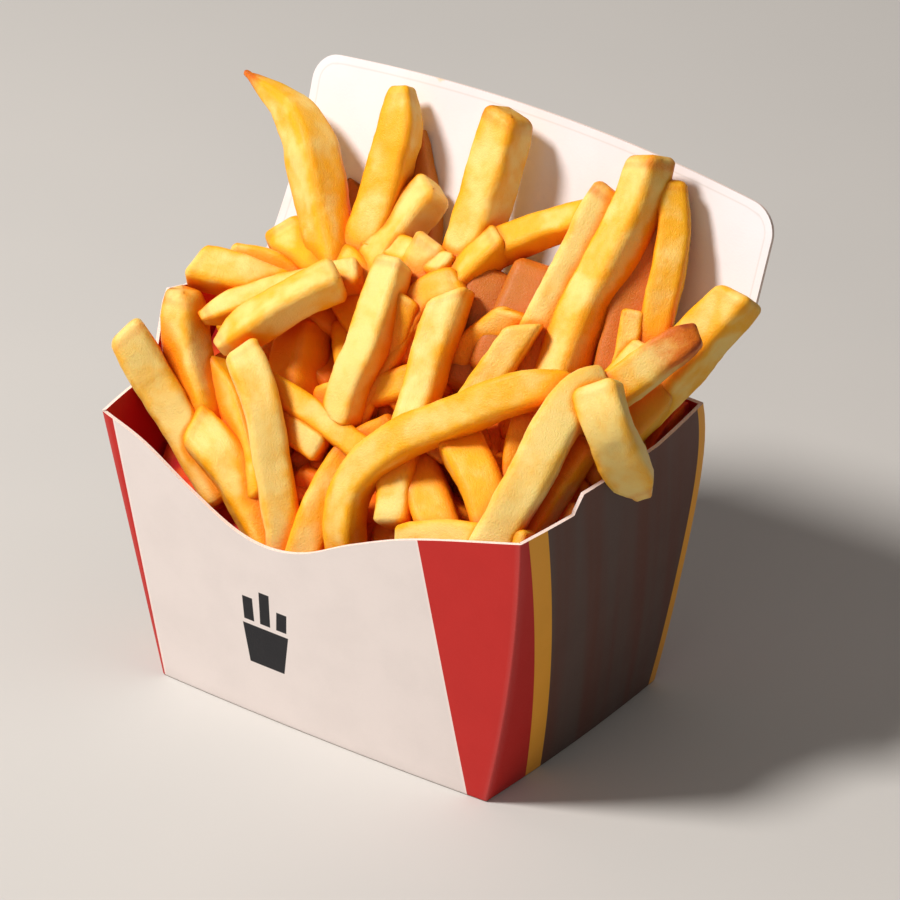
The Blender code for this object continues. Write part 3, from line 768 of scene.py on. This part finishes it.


# Fries.

# Width, tone (above 0.9 also painted shade, for fries that stand in shade), centre line (tip first) in
# millimetres, and how each differs from a plain square-cut bar.
FRIES = {
    "left_lean": (9.2, 0.05, [(-61.5, -23, 79.5), (-54, -22, 68.5), (-42, -23, 56)],
        dict(slant=14, turn=10)),
    "left_back": (9.4, 0.05, [(-56, -9, 85), (-52, -13, 73), (-44, -17, 61)], dict(tip=0.8)),
    "left_flat": (9, 0.2, [(-57, -2, 89), (-46, 1, 88), (-36, 5, 84)], dict(slant=-15)),
    "left_far": (6.5, 0.2, [(-55, 8, 88), (-47, 11, 87), (-39, 13, 83)]),
    "cross_upper": (7.6, 0.1, [(-49, -10, 82), (-42, -3, 85), (-31, 4, 89)], dict(tip=0.45, reach=9)),
    "cross_lower": (8.6, 0.35, [(-41, -14, 79), (-33.5, -9, 86), (-26.5, -4, 92), (-20.8, 1.6, 95.4)],
        dict(tip=0.5, reach=9)),
    "front_post": (8.5, 0.1, [(-33, -17, 81), (-25, -21, 74.5), (-20, -24, 64), (-13, -28, 45),
        (-12, -28, 31)], dict(turn=15)),
    "cut_stub": (10.5, 0.4, [(-43, -22, 60), (-33, -23.5, 56), (-23, -25, 47)], dict(slant=25)),
    "low_upper": (6.5, 0.5, [(-29, -14, 73), (-16, -14, 70), (-4, -14, 66)]),
    "low_lower": (7, 0.1, [(-27, -16, 68), (-18, -17, 66), (-11, -17, 64)]),
    "bright_bow": (8.4, -0.1, [(-11, 10, 98.6), (-10.2, 6, 94), (-9.6, 2, 89.6), (-8.8, -3, 83.7),
        (-9.6, -8, 76.5), (-9.4, -12, 69.4)], dict(turn=-12)),
    "mid_long": (8.1, 0.2, [(5, 10, 95), (7, 0, 85), (10, -10, 75), (12, -18, 67), (16, -25, 58)],
        dict(slant=35)),
    "big_curve": (8.3, 0.55, [(48, -1, 89), (44, -4, 91.5), (35, -10, 89), (24, -15, 82), (13, -20, 75),
        (5, -25, 65), (4, -28, 57), (5, -29, 48)], dict(tip=0.7, reach=14)),
    "under_curve": (8.1, 0.4, [(1, -6, 68), (-5, -14, 63), (-7, -22, 54), (-7, -28.5, 44)]),
    "back_block": (9.4, 0.1, [(-18, 34, 105), (-21, 27, 98), (-22, 19, 91)]),
    "back_small": (10.2, -0.1, [(-8.6, 21.5, 98.4), (-8.6, 17, 93.5), (-8, 12, 88)], dict(slant=-15)),
    "mid_small": (6.9, 0.2, [(-32.8, 24, 93.3), (-23.3, 22, 94.5), (-13.3, 20, 95.5)]),
    "stub_mid_low": (8.1, 0.7, [(3, 17, 95), (-4, 12, 91), (-7, 2, 79)]),
    "stub_right": (8.5, 0.6, [(7, 26, 103), (2, 20, 96), (-3, 12, 88)]),
    "arch": (7.4, 0.6, [(30, 35, 113), (25.6, 34, 111.5), (19.8, 32.5, 109), (13.6, 30, 106),
        (8, 27, 102.5)]),
    "shard": (10.6, 0.45, [(-71.7, 36, 117.8), (-59.5, 34, 114.3), (-51.7, 31, 110.4),
        (-45.8, 27, 104.4), (-40.6, 23, 97.5), (-34.5, 18, 91.2)],
        dict(girth=[(0, 0.12), (0.1, 0.45), (0.28, 0.9), (0.42, 1.08), (0.65, 1), (1, 0.9)], brown=0.75,
             brown_reach=6, turn=-38, flat=0.9, slant=0)),
    "tall_shade": (9.8, 0.6, [(-31.8, 41, 123), (-29.4, 37, 116.5), (-29, 33, 108.8), (-28.4, 28, 101)],
        dict(girth=[(0, 0.62), (0.1, 0.8), (0.3, 1), (1, 1.03)], turn=-6)),
    "tall_shade_side": (8.2, 1.5, [(-27.6, 42, 113), (-25.3, 39, 104.5), (-21, 34, 97)],
        dict(tip=0.4, reach=12)),
    "tall_blunt": (9.9, 0.3, [(-1, 40, 126), (-1, 35, 116), (-1, 30, 107), (-1, 24, 97)],
        dict(slant=-12)),
    "longest": (9.4, 0.3, [(37, 41, 126), (37, 36, 117), (35, 28, 105), (33, 20, 94), (34, 9, 81)]),
    "parallel": (10.4, -0.1, [(29.6, 37, 116.5), (27.9, 31, 108), (26.6, 25, 100.2), (25.3, 18, 91)]),
    "behind_long": (7.4, 0.7, [(41.5, 43, 121), (45, 39, 113), (47.5, 33, 105), (49, 27, 96)]),
    "dark_back": (13, 1.5, [(39.5, 41, 115), (40.5, 36, 106), (43, 27, 94)], dict(flat=0.6)),
    "shade_middle": (12, 1.6, [(17, 28, 98), (17, 19, 88.5)]),
    "shade_near": (11, 1.6, [(6.5, 24, 95), (8, 15, 85)]),
    "shade_far": (11, 1.6, [(23.5, 28, 98), (24, 18, 87)]),
    "lit_small": (5.4, 0.6, [(45, 24, 98), (47, 18, 90)]),
    "right_out": (10.3, 0.5, [(67, 32, 105), (62, 27, 97), (57, 21, 88), (52, 14, 80)], dict(slant=20)),
    "brown_tip": (8.4, 0.35, [(66, 17, 102), (61, 11.5, 97.8), (56.7, 6, 93), (52, 1, 88.5)],
        dict(brown=0.9, brown_reach=13, tip=0.72)),
    "elbow": (9.8, -0.1, [(52.5, 0, 92.2), (50.6, -5, 91.6), (49.2, -12, 86), (49, -18, 80),
        (48, -24, 73.5), (46.3, -28.5, 66.5)], dict(turn=4)),
    "over_wall": (10.6, 0, [(65.2, -1.2, 71), (63.6, -5.2, 79.1), (61.5, -7.4, 86.9), (58.8, -7, 91.6),
        (55.8, -5, 95)],
        dict(girth=[(0, 0.5), (0.06, 0.68), (0.16, 0.88), (0.4, 1.02), (1, 0.98)], flat=0.5, turn=2,
             slant=0)),
    "tiny_right": (5.8, 0.6, [(51, 20, 93), (48, 12, 86)]),
    "front_low": (7, 0.5, [(21, -29, 57), (32, -29, 62), (42, -28.5, 64)]),
    "shade_inner": (9.9, 0.8, [(23, -12, 76), (34, -18, 71), (43, -24, 63)]),
    "shade_outer": (10.3, 0.8, [(10, -12, 67), (20, -18, 62), (29, -24, 56)]),
    "shade_thin": (6.3, 0.6, [(36, -4, 83), (39, -12, 72)]),
    "pair_front": (7.2, 0.3, [(25, 10, 94), (23, 4, 87), (20, -4, 78)], dict(slant=38)),
    "pair_back": (6.7, 0.4, [(18, 16, 93), (12, 12, 87), (5, 5, 79)], dict(slant=38)),
    "behind_post": (7.6, 0.4, [(-47, -10, 69), (-39, -13, 66), (-30, -19, 59)]),
    "mid_left": (12, 0.6, [(-51.5, 22.5, 89), (-41, 19, 89), (-29, 14, 89.5), (-20, 10, 86)],
        dict(tip=0.75, reach=7, flat=0.55)),
    "gap_post": (6.3, 0.9, [(-22.5, 7, 81), (-16.5, 1, 77)]),
    "shade_left": (10.5, 1, [(-31, 3, 79), (-27, -7, 66)]),
    "under_bow": (7.6, 0.5, [(-18, -8, 69), (-3, -1, 75)]),
    "beside_bow": (7.2, 0.6, [(-6, 8, 92), (-7, 2, 82), (-8, -4, 74)]),
    "tiny_back": (5.2, 1.6, [(-42.6, 39, 97.5), (-40.3, 34, 92.5)]),
    "right_low": (10, 1.1, [(56, 18, 86), (53, 8, 78)]),
    "right_low_thin": (6.7, 0.5, [(52, -4, 80), (50, -12, 72)]),
}
# Those that end in view; the others go on BURY millimetres into the heap.
OPEN_ENDED = ("over_wall", "mid_long", "low_lower", "bright_bow", "cross_lower")
BURY = 12.0
# The one that hangs over the right wall, and how far in from the wall it is pushed out.
OUTSIDE, OUTSIDE_REACH = "over_wall", 6.0

# The bar that every fry is a copy of, as shares of its width.
BAR_LENGTH = 6.0
BAR_CORNER = 0.21
END_STEPS = ((0.03, 0.05), (0.05, 0.05), (0.07, 0.035), (0.12, 0.015))
END_ZONE = 0.3
END_LEAST = 2.2
TINY = 1e-4
CURVE_STEPS, ROUTE_SAMPLES = 16, 72
# Lumps of a fry: height in millimetres, and how many to a millimetre.
LUMPS = ((0.34, 0.16), (0.13, 0.5), (0.05, 1.3))
FACING = Vector((0.15, -0.75, 0.64)).normalized()
SEED = 23
PACKED = 130
# Packed fries lie deep in the heap; their higher tone is partly painted shade.
PACKED_WIDTH, PACKED_TONE_AND_SHADE = (7.0, 10.0), (0.5, 1.1)
CLEAR = 0.25
LEAN_CLEAR = 0.35
RIM_CLEAR = 0.4
WALLS_LEFT, WALLS_WIDTH = -60.0, 120.0
WALLS_FRONT, WALLS_DEPTH = -35.7, 67.0
SIDE_LEAN, BACK_LEAN = 0.19, 0.04
PACKED_ROOM_SIDE, PACKED_ROOM_BACK, PACKED_FRONT = 6.0, 5.0, -22.0
PACKED_RISE = 4.5
PACKED_TRIES = 8
PACKED_SHRINK, PACKED_PULL = 0.86, 0.93


def bar_template(rings, cuts):
    """A square-cut bar one wide and BAR_LENGTH long: rounded long edges and softened cut ends."""
    bpy.ops.mesh.primitive_cube_add(size=1)
    bar = bpy.context.active_object
    edit_all()
    bpy.ops.transform.resize(value=(1, 1, BAR_LENGTH))
    bpy.ops.transform.translate(value=(0, 0, BAR_LENGTH / 2))
    wide = 1 - 2 * BAR_CORNER - 0.01

    def lengthwise(e):
        low, high = edge_ends(bar, e)
        return abs(low.z - high.z) > TINY and (low.xy - high.xy).length < TINY

    def crosswise(e):
        low, high = edge_ends(bar, e)
        return abs(low.z - high.z) < TINY and (low - high).length > wide

    def level(height):
        return lambda e: all(abs(co.z - height) < TINY for co in edge_ends(bar, e))

    pick(bar, "edges", lengthwise)
    bpy.ops.mesh.bevel(offset=BAR_CORNER, segments=cuts + 1, affect="EDGES")
    pick(bar, "polygons", lambda f: abs(f.normal.z) > 0.9)
    bpy.ops.mesh.delete(type="ONLY_FACE")
    pick(bar, "edges", crosswise)
    bpy.ops.mesh.subdivide(number_cuts=cuts)
    pick(bar, "edges", lengthwise)
    bpy.ops.mesh.subdivide(number_cuts=rings)
    for outward, height in ((-1, 0.0), (1, BAR_LENGTH)):
        pick(bar, "edges", level(height))
        bpy.ops.mesh.edge_face_add()
        for inset, rise in END_STEPS:
            pick(bar, "polygons", lambda f: len(f.vertices) > 4 and abs(f.center.z - height) < 1)
            bpy.ops.mesh.inset(thickness=inset, depth=0)
            bpy.ops.transform.translate(value=(0, 0, rise * outward))
        bpy.ops.mesh.poke()
    face_outward()
    return bar


def smooth_route(points):
    """Even samples of a smooth curve through the points: places, tangents and its length."""
    knots = [points[0] * 2 - points[1]] + points + [points[-1] * 2 - points[-2]]
    fine = []
    for i in range(len(points) - 1):
        p0, p1, p2, p3 = knots[i : i + 4]
        for step in range(CURVE_STEPS):
            t = step / CURVE_STEPS
            bend = (2 * p0 - 5 * p1 + 4 * p2 - p3) * t**2 + (3 * p1 - p0 - 3 * p2 + p3) * t**3
            fine.append(0.5 * (2 * p1 + (p2 - p0) * t + bend))
    fine.append(points[-1])
    line = np.array(fine)
    steps = np.linalg.norm(np.diff(line, axis=0), axis=1)
    far = np.concatenate([[0], np.cumsum(steps)])
    even = np.linspace(0, far[-1], ROUTE_SAMPLES)
    places = np.stack([np.interp(even, far, line[:, axis]) for axis in range(3)], axis=1)
    tangents = np.gradient(places, axis=0)
    tangents /= np.linalg.norm(tangents, axis=1)[:, None]
    return places, tangents, far[-1]


def turned_frames(tangents, facing, turn):
    """Two directions across the bar at every sample, carried along without twist."""
    normal = np.array(facing)
    normals = []
    for tangent in tangents:
        normal = normal - tangent * normal.dot(tangent)
        normal = normal / np.linalg.norm(normal)
        normals.append(normal)
    normals = np.array(normals)
    sides = np.cross(tangents, normals)
    c, s = math.cos(turn), math.sin(turn)
    return sides * c + normals * s, normals * c - sides * s


def shorter_over_longer(x, y):
    """1 on a long edge of the square bar, 0 along the middle of a side."""
    x, y = abs(x), abs(y)
    return np.minimum(x, y) / np.maximum(1e-6, np.maximum(x, y))


def add_fry(template, width, points, style, rng, keep):
    """One fry: the bar laid along a smooth line, with its own girth, end cut, lean and lumps."""
    fry = template.copy()
    fry.data = template.data.copy()
    bpy.context.scene.collection.objects.link(fry)
    route, tangents, length = smooth_route([Vector(point) for point in points])
    turn = math.radians(style.get("turn", rng.uniform(-28, 28)))
    across, outward = turned_frames(tangents, FACING, turn)

    # Lengthwise: the two ends keep their shape, and what lies between them is stretched.
    count = len(fry.data.vertices)
    bar = np.empty(count * 3)
    fry.data.vertices.foreach_get("co", bar)
    bar_x, bar_y, z = bar.reshape(-1, 3).T
    reach = length / width
    ends = min(1.0, reach / END_LEAST)
    between = ends + (z - 1) / (BAR_LENGTH - 2) * (reach - 2 * ends)
    far_end = reach - (BAR_LENGTH - z) * ends
    along = np.where(z < 1, z * ends, np.where(z > BAR_LENGTH - 1, far_end, between)) * width
    share = np.clip(along / length, 0, 1)

    girth = np.interp(share, *zip(*style.get("girth", [(0, 1), (1, 1)])))
    near_tip = np.clip(1 - along / style.get("reach", 5.0), 0, 1)
    girth = girth * (1 - (1 - style.get("tip", 0.94)) * near_tip**1.6)
    wave = rng.uniform(0, 6.28)
    girth = girth * (1 + 0.035 * np.sin(share * rng.uniform(5, 9) + wave))

    edge = shorter_over_longer(bar_x, bar_y)
    sunk = 1 - rng.uniform(-0.02, 0.035) * (1 - edge**2)
    aspect = style.get("flat", rng.uniform(0.86, 1.0))
    skew = rng.uniform(-0.10, 0.10)
    x = (bar_x + skew * bar_y) * width * girth * sunk
    y = bar_y * width * girth * sunk * aspect

    slant = math.tan(math.radians(style.get("slant", rng.uniform(-16, 16))))
    tilt = math.tan(math.radians(rng.uniform(-10, 10)))
    cut = np.clip(1 - along / (1.3 * width), 0, 1)
    along = along + cut * (x * slant + y * tilt)

    # Along the route, past its last sample at either end.
    spot = np.clip(along / length, -0.2, 1.2) * (len(route) - 1)
    low = np.clip(np.floor(spot).astype(int), 0, len(route) - 2)
    part = (spot - low)[:, None]
    part_in = np.clip(part, 0, 1)
    centre = route[low] + (route[low + 1] - route[low]) * part
    aside = across[low] * (1 - part_in) + across[low + 1] * part_in
    out = outward[low] * (1 - part_in) + outward[low + 1] * part_in
    surface = centre + aside * x[:, None] + out * y[:, None]
    radial = surface - centre
    radial /= np.maximum(1e-6, np.linalg.norm(radial, axis=1))[:, None]
    shift = Vector([rng.uniform(0, 99) for _ in range(3)])
    lumps = np.array([
        sum(height * noise.noise(Vector(place) * scale + shift) for height, scale in LUMPS)
        for place in surface
    ])
    surface = keep(surface + radial * lumps[:, None])
    fry.data.vertices.foreach_set("co", (surface * MM).ravel())
    fry.data.update()

    tip_zone = np.clip(1 - along / style.get("brown_reach", 3.0), 0, 1)
    store(fry, "edge", edge)
    store(fry, "cap", np.clip((END_ZONE - np.minimum(z, BAR_LENGTH - z)) / END_ZONE, 0, 1))
    store(fry, "toast", tip_zone * style.get("brown", rng.uniform(0.0, 0.25)))
    store(fry, "tone_and_shade", np.full(count, style.get("tone_and_shade", rng.uniform(0.1, 0.8))))
    grain = fry.data.attributes.new("grain", "FLOAT_VECTOR", "POINT")
    own = np.stack([x + shift.x, y + shift.y, along * 0.8 + shift.z], axis=1)
    grain.data.foreach_set("vector", own.astype(np.float32).ravel())
    return fry


def keep_inside(points):
    """Press what would pass through a wall back against its inner face."""
    for point in points:
        x, y, z = point
        rise = max(0.0, z)
        u, v = limited((x - WALLS_LEFT) / WALLS_WIDTH), limited((y - WALLS_FRONT) / WALLS_DEPTH)
        if z < front_rim(u) + RIM_CLEAR:
            point[1] = max(y, front_point(u, rise).y + BOARD + CLEAR)
        if z < right_rim(v) + RIM_CLEAR:
            point[0] = min(x, right_point(v, rise).x - BOARD - CLEAR)
        if z < left_rim(1 - v) + RIM_CLEAR:
            point[0] = max(point[0], left_point(1 - v, rise).x + BOARD + CLEAR)
        along = back_share(point[0])
        fold = back_rim(along)
        if z < fold:
            back = back_point(limited(along), z).y
        elif panel_edges(0.5)[1] - 2 < point[0] < PANEL_TOP_RIGHT.x + 2:
            up = (z - fold) / (panel_point(point[0], 1.0).z - fold)
            back = panel_point(point[0], min(up, 1.1)).y - LEAN_CLEAR
        else:
            continue
        point[1] = min(point[1], back - BOARD - CLEAR)
    return points


def keep_outside(points):
    """The fry that hangs over the right wall stays outside it."""
    for point in points:
        v = limited((point[1] - WALLS_FRONT) / WALLS_DEPTH)
        face = right_point(v, max(0.0, point[2])).x
        if point[2] < right_rim(v) and point[0] > face - OUTSIDE_REACH:
            point[0] = max(point[0], face + CLEAR)
    return points


def heap_height(x, y):
    slope = min(HEAP_FRONT + HEAP_RISE * (y + BASE_HALF_DEPTH), HEAP_TOP)
    return slope + HEAP_SIDE_LIFT * (x / FRONT_RIGHT_TOP.x) ** 2 - HEAP_SINK


def packed_route(rng):
    """A short, slightly bent line lying in the heap with both ends inside the walls, or None."""
    x, y = rng.uniform(-50, 50), rng.uniform(-30, 28)
    heading, pitch = rng.uniform(0, math.pi), rng.uniform(-0.25, 0.45)
    length = rng.uniform(26, 58)
    sink = rng.uniform(2.5, 11.0)
    level = math.cos(pitch)
    along = Vector((math.cos(heading) * level, math.sin(heading) * level, math.sin(pitch)))
    for _ in range(PACKED_TRIES):
        middle = Vector((x, y, heap_height(x, y) - sink))
        ends = [middle + along * side * length / 2 for side in (-1, 1)]
        room = min(
            min(
                BASE_HALF_WIDTH + SIDE_LEAN * end.z - PACKED_ROOM_SIDE - abs(end.x),
                BASE_HALF_DEPTH + BACK_LEAN * end.z - PACKED_ROOM_BACK - end.y,
                end.y - PACKED_FRONT,
            )
            for end in ends
        )
        over = max(end.z - heap_height(end.x, end.y) for end in ends)
        if room > 0 and over < PACKED_RISE:
            bent = (ends[0] + ends[1]) / 2 + Vector([rng.uniform(-1.5, 1.5) for _ in range(3)])
            return [ends[0], bent, ends[1]]
        length *= PACKED_SHRINK
        x *= PACKED_PULL
        y *= PACKED_PULL
    return None


def fry_finish():
    """Fried potato: pale lit faces, golden to brown edges, fine pits and a little oil, with painted
    shade in the gaps between fries and on fries that stand in shade.
    """
    paint = Paint("fried_potato", 0.42)
    own = paint.attribute("grain", "Vector")
    tone_and_shade = paint.attribute("tone_and_shade")
    broad = paint.noise(own, 0.13)
    blotch = paint.noise(own, 0.5, 3.0, 0.55)
    speck = paint.noise(own, 2.4, 3.0, 0.7)
    edge = paint.attribute("edge").ramp(0.3, 1.0)
    gap = paint.attribute("gap")
    golden = tone_and_shade * 0.6 + broad.ramp(0.35, 0.65) * 0.42 + blotch.ramp(0.35, 0.75) * 0.14 + edge * 0.26
    # Painted shade: places shut in by other fries (gap) turn more golden, then deep orange, then
    # red-orange.
    golden = golden + gap.ramp(0.08, 0.6) * 0.6 - 0.12
    colour = paint.mix(golden.ramp(0.0, 0.8), FRY_PALE, FRY_GOLD)
    deep = edge * 0.30 + (golden - 0.75) * 0.6 + speck.ramp(0.62, 0.85) * 0.14
    colour = paint.mix(deep.ramp(0.0, 1.1), colour, FRY_DEEP)
    # Painted shade between the fries, deeper where the gap is greater.
    colour = paint.mix(gap.ramp(0.15, 0.5) * 0.75, colour, FRY_DEEP)
    colour = paint.mix(gap.ramp(0.42, 0.85) * 0.68, colour, FRY_SHADE)
    # Painted shade: fries whose tone is above 0.9 are darkened towards a dull brown-orange, as fries
    # that stand in shade.
    colour = paint.mix(tone_and_shade.ramp(0.9, 1.6) * 0.9, colour, FRY_PAINTED_SHADE)
    toast = paint.attribute("toast")
    rim = paint.attribute("cap").ramp(0.05, 0.5) * paint.attribute("cap").ramp(1.0, 0.7)
    burnt = toast * (blotch.ramp(0.3, 0.7) * 0.3 + 0.45) + toast * edge * 0.5 + rim * 0.09
    colour = paint.mix(burnt.ramp(0.0, 0.5), colour, FRY_TOAST)
    colour = paint.mix(burnt.ramp(0.4, 1.2), colour, FRY_BROWN)
    paint.set("Base Color", colour)
    paint.set("Roughness", blotch * 0.18 + speck * 0.14 + 0.28)
    paint.bump(speck * 0.9 + blotch * 0.5 + paint.noise(own, 6.0) * 0.5, 0.0002)
    paint.set("Subsurface Weight", 0.22)
    paint.set("Subsurface Radius", (1.0, 0.55, 0.25))
    paint.set("Subsurface Scale", 1.8 * MM)
    paint.set("Specular IOR Level", 0.3)
    paint.set("Coat Weight", 0.05)
    paint.set("Coat Roughness", 0.3)
    return paint.material


def join_fries(fries, name, material):
    piece = join(fries, name)
    piece.data.materials.append(material)
    finish_piece(piece, ["fries"], 60)


GAP_REACH = 13.0
GAP_RAYS = 12
GAP_SMOOTHING = 3
GAP_LIFT = 0.4
RAY_TURN = 2.4


def store_gaps(fries):
    """How shut in every place of a fry is by the other fries near it, from 0 to 1; the fry colour uses
    it as painted shade.
    """
    corners, faces, first = [], [], 0
    for fry in fries:
        corners += [vert.co / MM for vert in fry.data.vertices]
        faces += [[first + index for index in face.vertices] for face in fry.data.polygons]
        first += len(fry.data.vertices)
    tree = BVHTree.FromPolygons(corners, faces)
    fan = []
    for i in range(GAP_RAYS):
        rise, turn = 1 - (i + 0.5) / GAP_RAYS, RAY_TURN * i
        aside = math.sqrt(1 - rise)
        fan.append(Vector((aside * math.cos(turn), aside * math.sin(turn), math.sqrt(rise))))
    for fry in fries:
        shut = np.zeros(len(fry.data.vertices))
        for index, vert in enumerate(fry.data.vertices):
            normal = vert.normal
            start = vert.co / MM + normal * GAP_LIFT
            side = normal.orthogonal().normalized()
            other = normal.cross(side)
            for ray in fan:
                heading = side * ray.x + other * ray.y + normal * ray.z
                far = tree.ray_cast(start, heading, GAP_REACH)[3]
                if far is not None:
                    shut[index] += 1 - 0.5 * far / GAP_REACH
        shut /= GAP_RAYS
        ends = np.empty(len(fry.data.edges) * 2, np.int32)
        fry.data.edges.foreach_get("vertices", ends)
        ends = ends.reshape(-1, 2)
        for _ in range(GAP_SMOOTHING):
            total, count = shut.copy(), np.ones(len(shut))
            for a, b in ((0, 1), (1, 0)):
                np.add.at(total, ends[:, a], shut[ends[:, b]])
                np.add.at(count, ends[:, a], 1)
            shut = total / count
        store(fry, "gap", shut)


def build_fries():
    rng = random.Random(SEED)
    template = bar_template(44, 3)
    plain_template = bar_template(18, 1)
    shown = []
    for name, (width, tone_and_shade, places, *extra) in FRIES.items():
        points = [Vector(place) for place in places]
        if name not in OPEN_ENDED:
            points.append(points[-1] + (points[-1] - points[-2]).normalized() * BURY)
        keep = keep_outside if name == OUTSIDE else keep_inside
        shown.append(add_fry(template, width, points, dict(*extra, tone_and_shade=tone_and_shade), rng, keep))
    packed = []
    while len(packed) < PACKED:
        route = packed_route(rng)
        if route:
            width = rng.uniform(*PACKED_WIDTH)
            style = dict(tone_and_shade=rng.uniform(*PACKED_TONE_AND_SHADE))
            packed.append(add_fry(plain_template, width, route, style, rng, keep_inside))
    for bar in (template, plain_template):
        bpy.data.objects.remove(bar)
    store_gaps(shown + packed)
    finish = fry_finish()
    join_fries(shown, "fries_shown", finish)
    join_fries(packed, "fries_packed", finish)


def core_finish():
    """What shows in the deepest gaps: fries in shade and the red of the board."""
    paint = Paint("core_shade", 0.6)
    _, y, _, where = paint.place()
    patch = paint.noise(where, 0.12)
    inner = paint.mix(patch.ramp(0.4, 0.6), CORE_RED, CORE_ORANGE)
    paint.set("Base Color", paint.mix(y.ramp(-22.0, -26.0), inner, CORE_RED))
    paint.bump(paint.noise(where, 0.5, 3.0), 0.0006)
    paint.set("Specular IOR Level", 0.08)
    return paint.material


def build_core():
    """Smaller body under the fries, a few millimetres inside the walls."""
    bpy.ops.mesh.primitive_cube_add(size=2)
    core = bpy.context.active_object
    core.name = core.data.name = "fries_core"
    edit_all()
    bpy.ops.mesh.subdivide(number_cuts=CORE_CUTS)
    leave_edit()
    inset = BOARD + CORE_INSET
    for vert in core.data.vertices:
        across, deep, rise = [(value + 1) / 2 for value in vert.co]
        ground_x = (across * 2 - 1) * BASE_HALF_WIDTH * CORE_SPREAD
        ground_y = (deep * 2 - 1) * BASE_HALF_DEPTH
        z = CORE_FOOT + (heap_height(ground_x, ground_y) - CORE_DROP - CORE_FOOT) * rise
        left = left_point(1 - deep, z).x + inset
        right = right_point(deep, z).x - inset
        front = front_point(across, z).y + inset
        back = back_point(1 - across, z).y - inset
        vert.co = Vector((left + (right - left) * across, front + (back - front) * deep, z)) * MM
    edit_all()
    face_outward()
    core.data.materials.append(core_finish())
    finish_piece(core, ["fries"], 60)


# Stage.

AIM = Vector((0.0, 0.0, 50.0)) * MM
VIEW_AZIMUTH = 37.4
VIEW_ELEVATION = 29.6
VIEW_DISTANCE = 1.4935
VIEW_ROLL = -0.5
LENS = 266.0
SENSOR = 36.0
SHIFT = (0.0479, 0.0410)
KEY_LIGHT = (1.0, 0.96, 0.91)
SOFT_LIGHT = (1.0, 0.94, 0.88)
FLOOR_SIZE, FLOOR_DROP = 6.0, 0.05


def direction(azimuth, elevation):
    """Unit vector from the object towards a place round it; azimuth 0 is in front of it."""
    a, e = math.radians(azimuth), math.radians(elevation)
    return Vector((math.sin(a) * math.cos(e), -math.cos(a) * math.cos(e), math.sin(e)))


def aimed(name, data, azimuth, elevation, distance):
    """A camera or lamp that stands round the object and faces it."""
    obj = bpy.data.objects.new(name, data)
    bpy.context.scene.collection.objects.link(obj)
    away = direction(azimuth, elevation)
    obj.location = AIM + away * distance
    obj.rotation_euler = (-away).to_track_quat("-Z", "Y").to_euler()
    return obj


def add_camera():
    data = bpy.data.cameras.new("camera")
    data.lens = LENS
    data.sensor_width = SENSOR
    data.shift_x, data.shift_y = SHIFT
    camera = aimed("camera", data, VIEW_AZIMUTH, VIEW_ELEVATION, VIEW_DISTANCE)
    camera.rotation_euler.rotate_axis("Z", math.radians(VIEW_ROLL))
    bpy.context.scene.camera = camera


def add_lamp(name, azimuth, elevation, distance, size, power, colour):
    data = bpy.data.lights.new(name, "AREA")
    data.shape = "DISK"
    data.size = size
    data.energy = power
    data.color = colour
    aimed(name, data, azimuth, elevation, distance)


def build_stage():
    bpy.ops.mesh.primitive_plane_add(size=FLOOR_SIZE, location=(0, 0, -FLOOR_DROP * MM))
    floor = bpy.context.active_object
    floor.name = "floor"
    paint = Paint("floor_pale", 0.7)
    *_, where = paint.place()
    cloud = paint.noise(where, 0.01)
    paint.set("Base Color", paint.mix(cloud, FLOOR_GREY, FLOOR_PALE))
    floor.data.materials.append(paint.material)
    world = bpy.data.worlds.new("studio")
    world.use_nodes = True
    background = world.node_tree.nodes["Background"]
    background.inputs["Color"].default_value = (*SOFT_LIGHT, 1)
    background.inputs["Strength"].default_value = 0.19
    bpy.context.scene.world = world
    add_lamp("key", -42, 54, 1.3, 0.30, 20.5, KEY_LIGHT)
    add_lamp("fill", 15, 45, 1.8, 1.2, 2.0, SOFT_LIGHT)
    bpy.context.scene.view_settings.view_transform = "Standard"


def main():
    build_carton()
    build_core()
    build_fries()
    build_stage()
    add_camera()


main()
